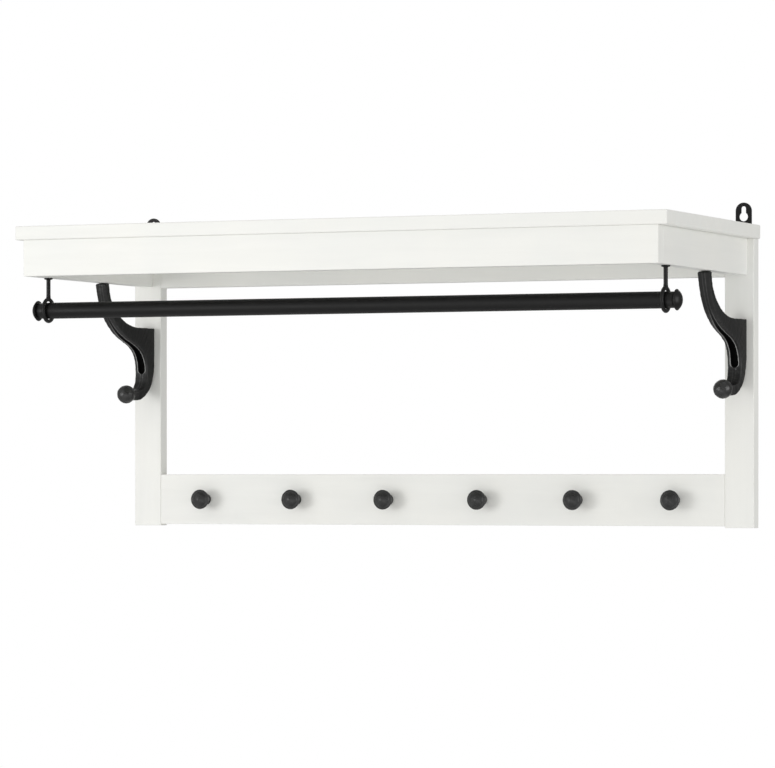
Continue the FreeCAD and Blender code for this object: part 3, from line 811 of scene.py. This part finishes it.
def hook_casting(side_name):
    """The double hook as one skin: prong, fluted front, square shoulder, heel, neck and ball."""
    node = "coat_hook_" + side_name
    low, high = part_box(node)
    middle = (low.x + high.x) / 2
    face_y = high.y
    shoulder_z = high.z - PRONG_BACK[0][1] * MM
    rings = casting_rings()
    count = len(rings[0])
    verts = [Vector((middle + x * MM, face_y - out * MM, shoulder_z + up * MM))
             for ring in rings for x, out, up, _ in ring]
    painted_light_and_dullness = [point[3] for ring in rings for point in ring] + [0.0]
    faces = []
    for i in range(len(rings) - 1):
        faces += bridge(count, i * count, (i + 1) * count)
    faces.append(tuple(range(count)))
    last = (len(rings) - 1) * count
    pole = Vector((middle, face_y - (BALL_CENTRE[0] + BALL_RADIUS) * MM, shoulder_z + BALL_CENTRE[1] * MM))
    verts.append(pole)
    faces += [(last + i, last + (i + 1) % count, len(verts) - 1) for i in range(count)]
    name = "hook_casting_" + side_name
    mesh = mesh_from(name, verts, faces, 50.0)
    # Per-vertex painted highlights and painted shade, which the black cast material reads.
    painted_shading = mesh.attributes.new("painted_light_and_dullness", "FLOAT", "POINT")
    for item, value in zip(painted_shading.data, painted_light_and_dullness):
        item.value = value
    seed = 3 if side_name == "left" else 8
    roughen(mesh, 0.28 * MM, 4.2 * MM, seed, keep=lambda p: p.y > face_y - 0.4 * MM)
    return new_piece(name, mesh, cast_black, node, RACK)


for side_name in SIDES:
    hook_casting(side_name)


# ---------------------------------------------------------------- keyhole plates


def circle_points(centre_x, centre_z, radius, start, end, steps):
    return [(centre_x + radius * math.cos(start + (end - start) * i / steps),
             centre_z + radius * math.sin(start + (end - start) * i / steps)) for i in range(steps + 1)]


def keyhole_plate(side_name):
    """Round-topped steel strip with a keyhole above the shelf and two screw holes below it."""
    node = "keyhole_plate_" + side_name
    low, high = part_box(node)
    middle = (low.x + high.x) / 2
    half = (high.x - low.x) / 2
    entry, slot_half, slot_rise = 5.5 * MM, 3.0 * MM, 10.0 * MM
    edge_steps, hole_steps = 8, 28
    outside = circle_points(middle, high.z - half, half, 0.0, math.pi, 32)
    heights = [low.z + (high.z - half - low.z) * i / edge_steps for i in range(edge_steps)]
    outside += [(middle - half, height) for height in reversed(heights)]
    outside += [(middle + half, height) for height in heights]
    meet = math.acos(slot_half / entry)
    keyhole = circle_points(middle, 0.0, entry, math.pi - meet, TAU + meet, hole_steps)
    keyhole += circle_points(middle, slot_rise, slot_half, 0.0, math.pi, 14)
    loops = [outside, keyhole]
    screws_low, screws_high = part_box("keyhole_plate_screws_" + side_name)
    head = PLATE_SCREW[1] * MM
    last_step = hole_steps - 1
    last_angle = TAU * last_step / hole_steps
    for centre_z in (screws_high.z - head, screws_low.z + head):
        loops.append(circle_points(middle, centre_z, head + 0.05 * MM, 0.0, last_angle, last_step))
    soup = bmesh.new()
    for loop in loops:
        ring = [soup.verts.new((x, high.y, z)) for x, z in loop]
        for a, b in zip(ring, ring[1:] + ring[:1]):
            soup.edges.new((a, b))
    bmesh.ops.triangle_fill(soup, use_beauty=True, edges=soup.edges[:])
    sheet = bmesh.ops.extrude_face_region(soup, geom=soup.faces[:])
    moved = [item for item in sheet["geom"] if isinstance(item, bmesh.types.BMVert)]
    bmesh.ops.translate(soup, verts=moved, vec=(0, low.y - high.y, 0))
    bmesh.ops.recalc_face_normals(soup, faces=soup.faces[:])
    mesh = bpy.data.meshes.new("keyhole_strip_" + side_name)
    soup.to_mesh(mesh)
    soup.free()
    piece = new_piece("keyhole_strip_" + side_name, mesh, plate_black, node, RACK)
    bevel = piece.modifiers.new("broken_edge", "BEVEL")
    bevel.width = 0.35 * MM
    bevel.segments = 3
    bevel.limit_method = "ANGLE"
    bevel.angle_limit = math.radians(50)
    bevel.harden_normals = True
    return piece


for side_name in SIDES:
    keyhole_plate(side_name)


# ---------------------------------------------------------------- screws


def cross_recess(size, depth):
    """A tapered cross, open upwards, that is cut out of a screw head along +Z from z = 0 downwards."""
    arm, tip = 0.22 * size, 0.5 * size
    bottom_share, overshoot = 0.55, 0.2
    cross = [(arm, arm), (tip, arm), (tip, -arm), (arm, -arm), (arm, -tip), (-arm, -tip), (-arm, -arm),
             (-tip, -arm), (-tip, arm), (-arm, arm), (-arm, tip), (arm, tip)]
    count = len(cross)
    verts = [Vector((x, y, depth * overshoot)) for x, y in cross]
    verts += [Vector((x * bottom_share, y * bottom_share, -depth)) for x, y in cross]
    faces = bridge(count, 0, count) + [tuple(range(count)), tuple(range(2 * count - 1, count - 1, -1))]
    return verts, faces


def screw_mesh(name, profile, face_radius):
    """One screw about the Z axis, its head's face at z = 0 and its point upwards, with a cross recess."""
    body = mesh_from(name + "_body", *turned(profile, 40, (0, 0, 0), (0, 0, 1)))
    verts, faces = cross_recess(1.15 * face_radius, 0.42 * face_radius)
    cutter_mesh = mesh_from(name + "_cutter", [Vector((v.x, v.y, -v.z)) for v in verts], faces)
    blank = bpy.data.objects.new(name + "_blank", body)
    cutter = bpy.data.objects.new(name + "_cutter", cutter_mesh)
    for item in (blank, cutter):
        bpy.context.scene.collection.objects.link(item)
    cut = blank.modifiers.new("recess", "BOOLEAN")
    cut.operation = "DIFFERENCE"
    cut.solver = "EXACT"
    cut.object = cutter
    applied(blank)
    mesh = blank.data
    bpy.data.objects.remove(blank)
    bpy.data.objects.remove(cutter)
    return mesh


def screw_group(name, master, places, node):
    """Several identical screws as one piece. Places are the points of their head faces, and all point out of
    the wall."""
    soup = bmesh.new()
    turn = Vector((0, 0, 1)).rotation_difference(Vector((0, -1, 0))).to_matrix().to_4x4()
    for index, place in enumerate(places):
        copy = master.copy()
        spin = Matrix.Rotation(0.9 * index + 0.3, 4, "Z")
        copy.transform(Matrix.Translation(place) @ turn @ spin)
        soup.from_mesh(copy)
        bpy.data.meshes.remove(copy)
    mesh = bpy.data.meshes.new(name)
    soup.to_mesh(mesh)
    soup.free()
    mesh.shade_smooth()
    mesh.set_sharp_from_angle(angle=math.radians(30))
    return new_piece(name, mesh, screw_zinc, node, RACK)


def pan_head_profile(shank, head, length):
    """Domed head 3 mm high, then the shank to a short point."""
    high = 3.0
    point_length, point_taper = 1.0, 0.9
    dome = arc_through((0.0, 0.0), (head * 0.6, 0.45), (head - 0.25, 1.5), 7)
    sides = [(head, 1.9), (head, high), (shank, high), (shank, length - point_length),
             (shank - point_taper, length), (0.0, length)]
    return scaled([(0.0, 0.0)] + dome + sides)


def countersunk_profile(shank, head, length):
    """Flat face with a thin rim, a 45 degree cone under it, the shank and a sharp point."""
    rim, rim_ease, point_radius = 0.2, 0.15, 0.3
    points = [(0.0, 0.0), (head - rim_ease, 0.0), (head, rim), (shank, head - shank + rim),
              (shank, length - 2 * shank), (point_radius, length), (0.0, length)]
    return scaled(points)


def pan_screws(name, node, sizes, centres):
    """Pan-head screws whose heads lie on the back of the node's box."""
    shank, head = sizes
    low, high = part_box(node)
    length = (high.y - low.y) / MM
    master = screw_mesh(name, pan_head_profile(shank, head, length), head * MM)
    return screw_group(name, master, [Vector((x, high.y, z)) for x, z in centres], node)


def middle_x(box):
    return (box[0].x + box[1].x) / 2


for side_name in SIDES:
    node = "hook_screws_" + side_name
    low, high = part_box(node)
    head = HOOK_SCREW[1] * MM
    x = middle_x((low, high))
    pan_screws("hook_screw_pair_" + side_name, node, HOOK_SCREW, [(x, high.z - head), (x, low.z + head)])
    node = "keyhole_plate_screws_" + side_name
    low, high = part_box(node)
    shank_radius, head_radius = PLATE_SCREW
    head = head_radius * MM
    length = (high.y - low.y) / MM
    master = screw_mesh("plate_screw", countersunk_profile(shank_radius, head_radius, length), head)
    x = middle_x((low, high))
    places = [Vector((x, high.y, z)) for z in (high.z - head, low.z + head)]
    screw_group("plate_screw_pair_" + side_name, master, places, node)

low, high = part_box("peg_screws")
knob_boxes = [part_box("peg_knob_" + str(number)) for number in range(1, peg_count + 1)]
row_z = (low.z + high.z) / 2
pan_screws("peg_screw_row", "peg_screws", PEG_SCREW, [(middle_x(box), row_z) for box in knob_boxes])
low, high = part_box("stile_screws")
apron_boxes = [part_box("side_apron_" + side_name) for side_name in SIDES]
row_z = (low.z + high.z) / 2
pan_screws("stile_screw_pair", "stile_screws", STILE_SCREW, [(middle_x(box), row_z) for box in apron_boxes])


# ---------------------------------------------------------------- camera, light and floor


def make_camera():
    """Level, from the right, about as high as the knobs, with a long lens and the rack low in the frame."""
    place = (2.0949, -5.0022, -0.3225)
    turn_left = 23.429
    lens_mm, sensor_mm = 199.33, 36.0
    rise_share = 0.1237
    camera = bpy.data.objects.new("camera", bpy.data.cameras.new("camera"))
    bpy.context.scene.collection.objects.link(camera)
    camera.location = place
    camera.rotation_euler = (math.radians(90), 0, math.radians(turn_left))
    camera.data.lens = lens_mm
    camera.data.sensor_width = sensor_mm
    camera.data.shift_y = rise_share
    camera.data.clip_end = 60.0
    bpy.context.scene.camera = camera


def area_light(name, place, target, size, power):
    data = bpy.data.lights.new(name, "AREA")
    data.shape = "RECTANGLE"
    data.size, data.size_y = size
    data.energy = power
    light = bpy.data.objects.new(name, data)
    light.location = place
    light.rotation_euler = (Vector(target) - Vector(place)).to_track_quat("-Z", "Y").to_euler()
    bpy.context.scene.collection.objects.link(light)


def make_world():
    """White behind everything, and a softer white for light, stronger from the front than from the back."""
    front, back = -0.7, 0.9
    front_strength, back_strength = 0.74, 0.25
    world = bpy.data.worlds.new("studio")
    bpy.context.scene.world = world
    world.use_nodes = True
    tree = world.node_tree
    tree.nodes.clear()
    output = tree.nodes.new("ShaderNodeOutputWorld")
    seen = tree.nodes.new("ShaderNodeBackground")
    seen.inputs["Strength"].default_value = 1.0
    seen.inputs["Color"].default_value = (1, 1, 1, 1)
    lit = tree.nodes.new("ShaderNodeBackground")
    lit.inputs["Color"].default_value = (1.0, 1.0, 0.992, 1)
    direction = tree.nodes.new("ShaderNodeTexCoord")
    parts = tree.nodes.new("ShaderNodeSeparateXYZ")
    front_to_back = tree.nodes.new("ShaderNodeMapRange")
    front_to_back.inputs["From Min"].default_value = front
    front_to_back.inputs["From Max"].default_value = back
    front_to_back.inputs["To Min"].default_value = front_strength
    front_to_back.inputs["To Max"].default_value = back_strength
    tree.links.new(direction.outputs["Generated"], parts.inputs[0])
    tree.links.new(parts.outputs["Y"], front_to_back.inputs["Value"])
    tree.links.new(front_to_back.outputs["Result"], lit.inputs["Strength"])
    path = tree.nodes.new("ShaderNodeLightPath")
    pick = tree.nodes.new("ShaderNodeMixShader")
    tree.links.new(path.outputs["Is Camera Ray"], pick.inputs["Fac"])
    tree.links.new(lit.outputs[0], pick.inputs[1])
    tree.links.new(seen.outputs[0], pick.inputs[2])
    tree.links.new(pick.outputs[0], output.inputs["Surface"])


def make_floor():
    """A pale round studio floor well below the rack, which fades to the white behind it."""
    radius = 0.85
    centre = (0.0, -0.16, -0.82)
    verts = [Vector(centre)]
    rings, segments = 6, 64
    faces = []
    for ring in range(1, rings + 1):
        for i in range(segments):
            angle = TAU * i / segments
            reach = radius * ring / rings
            offset = Vector((reach * math.cos(angle), reach * math.sin(angle), 0))
            verts.append(Vector(centre) + offset)
    faces += [(0, 1 + i, 1 + (i + 1) % segments) for i in range(segments)]
    for ring in range(rings - 1):
        faces += bridge(segments, 1 + ring * segments, 1 + (ring + 1) * segments)
    mesh = bpy.data.meshes.new("floor")
    mesh.from_pydata(verts, [], faces)
    floor = bpy.data.objects.new("floor", mesh)
    bpy.context.scene.collection.objects.link(floor)
    shader = Shader("pale_floor")
    tree = shader.tree
    distance = tree.nodes.new("ShaderNodeVectorMath")
    distance.operation = "DISTANCE"
    shader.plug(distance.inputs[0], shader.place)
    distance.inputs[1].default_value = centre
    fade_start, fade_end = 0.45 * radius, 0.98 * radius
    fade = shader.to_range(distance.outputs["Value"], 0.0, 1.0, from_low=fade_start, from_high=fade_end)
    speckle = shader.noise(180.0, detail=2.0)
    shader.finish(Base_Color=shader.ramp(speckle, [(0.3, 0.80), (0.7, 0.84)]), Roughness=0.8)
    white = tree.nodes.new("ShaderNodeEmission")
    blend = tree.nodes.new("ShaderNodeMixShader")
    shader.plug(blend.inputs["Fac"], fade)
    tree.links.new(shader.surface.outputs[0], blend.inputs[1])
    tree.links.new(white.outputs[0], blend.inputs[2])
    tree.links.new(blend.outputs[0], tree.nodes["Material Output"].inputs["Surface"])
    mesh.materials.append(shader.material)


make_camera()
make_world()
make_floor()

# Lights, as (name, place, target, size, power in watts).
LIGHTS = [
    ("key", (-2.2, -3.2, 1.6), (0, -0.15, -0.2), (2.8, 2.8), 6.0),
    ("low_key", (-2.1, -3.0, -0.3), (0, -0.15, -0.25), (1.6, 1.3), 29.0),
    ("fill", (3.6, -0.6, 0.0), (0, -0.15, -0.2), (2.0, 2.0), 38.0),
    ("top", (0.2, -0.6, 2.6), (0, -0.15, -0.2), (2.2, 1.6), 12.0),
    ("rear", (-1.8, 2.9, 1.3), (0, -0.1, -0.2), (2.0, 2.0), 22.0),
    ("bounce", (0.3, -1.7, -1.3), (0, -0.15, -0.1), (1.6, 1.6), 6.0),
]
for name, place, target, size, power in LIGHTS:
    area_light(name, place, target, size, power)
bpy.context.scene.view_settings.view_transform = "Standard"
